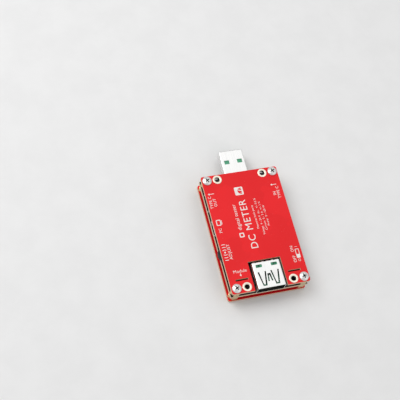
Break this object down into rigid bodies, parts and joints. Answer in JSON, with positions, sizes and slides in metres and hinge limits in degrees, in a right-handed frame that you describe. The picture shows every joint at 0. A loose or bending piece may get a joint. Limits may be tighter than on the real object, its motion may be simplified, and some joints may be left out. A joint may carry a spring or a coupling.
{
  "type": "usb power meter",
  "caption": "Open-sided pocket meter for USB power: red panels on standoffs, USB-A plug and socket at its ends, small screen, thumb dial and slide switch.",
  "frame": {"origin": "middle of the meter's bounding box seen from above, at the level of the front panel's outer face, on which it lies", "axes": "+Z out of the rear panel, +Y from the socket towards the plug, +X to the side with the slide switch"},
  "size_m": [0.0404, 0.0732, 0.0118],
  "materials": {
    "red_mask": "glossy solder mask over fibreglass board",
    "black_mask": "black solder mask over fibreglass board",
    "screw_steel": "bright plated steel",
    "standoff_plate": "nickel plated brass",
    "tin_plate": "bright tin plate",
    "contact_gold": "gold plate",
    "shell_steel": "smooth nickel plated sheet",
    "green_plastic": "satin",
    "black_plastic": "satin",
    "screen_glass": "polished, dark screen behind",
    "flex_film": "satin film",
    "ferrite": "dull moulded powder"
  },
  "bodies": {
    "meter": {"rear_panel": "red_mask", "front_panel": "red_mask", "main_board": "black_mask", "rear_screw_1": "screw_steel", "front_screw_1": "screw_steel", "rear_standoff_1": "standoff_plate", "front_standoff_1": "standoff_plate", "terminal_eyelet_1": "tin_plate", "plug_contact_1": "contact_gold", "socket_contact_1": "contact_gold", "rear_screw_2": "screw_steel", "front_screw_2": "screw_steel", "rear_standoff_2": "standoff_plate", "front_standoff_2": "standoff_plate", "terminal_eyelet_2": "tin_plate", "plug_contact_2": "contact_gold", "socket_contact_2": "contact_gold", "rear_screw_3": "screw_steel", "front_screw_3": "screw_steel", "rear_standoff_3": "standoff_plate", "front_standoff_3": "standoff_plate", "terminal_eyelet_3": "tin_plate", "plug_contact_3": "contact_gold", "socket_contact_3": "contact_gold", "rear_screw_4": "screw_steel", "front_screw_4": "screw_steel", "rear_standoff_4": "standoff_plate", "front_standoff_4": "standoff_plate", "terminal_eyelet_4": "tin_plate", "plug_contact_4": "contact_gold", "socket_contact_4": "contact_gold", "usb_a_plug_shell": "shell_steel", "usb_a_socket_shell": "shell_steel", "usb_c_in_shell": "shell_steel", "usb_c_out_shell": "shell_steel", "micro_usb_shell": "shell_steel", "dial_cover": "shell_steel", "switch_body": "shell_steel", "crystal": "shell_steel", "usb_a_plug_insert": "green_plastic", "usb_a_socket_insert": "green_plastic", "usb_c_in_tongue": "black_plastic", "usb_c_out_tongue": "black_plastic", "micro_usb_tongue": "black_plastic", "lcd_frame": "black_plastic", "dial_housing": "black_plastic", "module_socket_left": "black_plastic", "module_socket_right": "black_plastic", "microcontroller": "black_plastic", "protocol_chip": "black_plastic", "shunt_resistor": "black_plastic", "regulator": "black_plastic", "lcd_glass": "screen_glass", "lcd_flex": "flex_film", "inductor": "ferrite"},
    "dial_press": {"dial_carriage": "black_plastic"},
    "dial_wheel": {"dial_wheel": "black_plastic"},
    "switch_knob": {"switch_knob": "black_plastic"}
  },
  "joints": [
    {"name": "dial_press", "type": "slide", "parent": "meter", "child": "dial_press", "axis": [1, 0, 0], "range_m": [0, 0.0005], "stiffness_N_per_m": 800},
    {"name": "dial_turn", "type": "hinge", "parent": "dial_press", "child": "dial_wheel", "pos_m": [-0.0162, -0.01605, 0.00775], "axis": [0, 0, 1], "range_deg": [-14, 14], "stiffness_Nm_per_rad": 0.008},
    {"name": "switch_slide", "type": "slide", "parent": "meter", "child": "switch_knob", "axis": [0, 1, 0], "range_m": [0, 0.002]}
  ]
}
